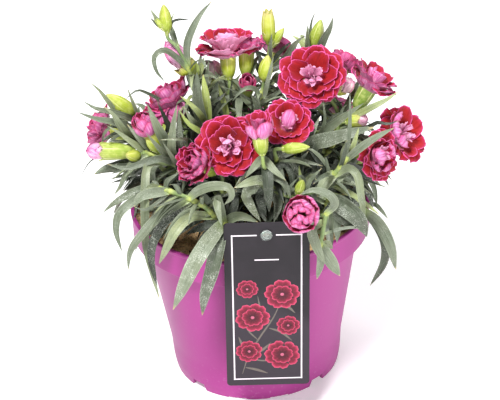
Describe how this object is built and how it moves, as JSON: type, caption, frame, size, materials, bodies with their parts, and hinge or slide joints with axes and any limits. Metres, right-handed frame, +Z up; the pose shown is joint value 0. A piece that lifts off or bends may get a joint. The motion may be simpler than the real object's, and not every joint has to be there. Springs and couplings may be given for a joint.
{
  "type": "potted flowering plant",
  "caption": "Potted pinks: round tapered growing pot with soil and a hang label, narrow grey-green leaves, jointed stems, double ruffled flower heads and buds.",
  "frame": {"origin": "on the table, under the middle of the whole object's box (the pot's axis is at x -3.3 mm, y 1.9 mm)", "axes": "+Z up along the pot's axis, -Y towards the side the label hangs on, +X to the right seen from that side"},
  "size_m": [0.2163, 0.2089, 0.2586],
  "materials": {
    "pot_plastic": "satin magenta plastic",
    "potting_mix": "loose, rough",
    "label_card": "printed, satin",
    "clear_plastic": "clear plastic",
    "clear_button": "clear plastic",
    "foliage": "waxy, matt grey-green leaves and stems",
    "petals": "velvety red petals with pink margins",
    "bud_petals": "pale pink folded petals"
  },
  "bodies": {
    "root": {"pot": "pot_plastic", "soil": "potting_mix", "label_card": "label_card", "label_stake": "clear_plastic", "label_button": "clear_button", "shoot_01": "foliage", "shoot_02": "foliage", "shoot_03": "foliage", "shoot_04": "foliage", "shoot_05": "foliage", "shoot_06": "foliage", "shoot_07": "foliage", "shoot_08": "foliage", "shoot_09": "foliage", "shoot_10": "foliage", "shoot_11": "foliage", "shoot_12": "foliage", "shoot_13": "foliage", "shoot_14": "foliage", "shoot_15": "foliage", "shoot_16": "foliage", "shoot_17": "foliage", "shoot_18": "foliage", "shoot_19": "foliage", "shoot_20": "foliage", "shoot_21": "foliage", "shoot_22": "foliage", "shoot_23": "foliage", "shoot_24": "foliage", "shoot_25": "foliage", "shoot_26": "foliage", "shoot_27": "foliage", "shoot_28": "foliage", "bloom_06": "petals", "bloom_07": "petals", "bloom_08": "petals", "bloom_09": "petals", "bloom_01": "petals", "bloom_10": "petals", "bloom_11": "petals", "bloom_13": "petals", "bloom_14": "petals", "bloom_04": "petals", "bloom_05": "petals", "bloom_02": "petals", "bloom_03": "petals", "bloom_15": "petals", "bloom_16": "petals", "bloom_17": "petals", "bloom_18": "petals", "bloom_19": "petals", "bloom_20": "petals", "bloom_12": "petals", "bud_01": "bud_petals", "bud_02": "bud_petals", "bud_03": "bud_petals", "bud_04": "bud_petals", "bud_05": "bud_petals"}
  },
  "joints": []
}
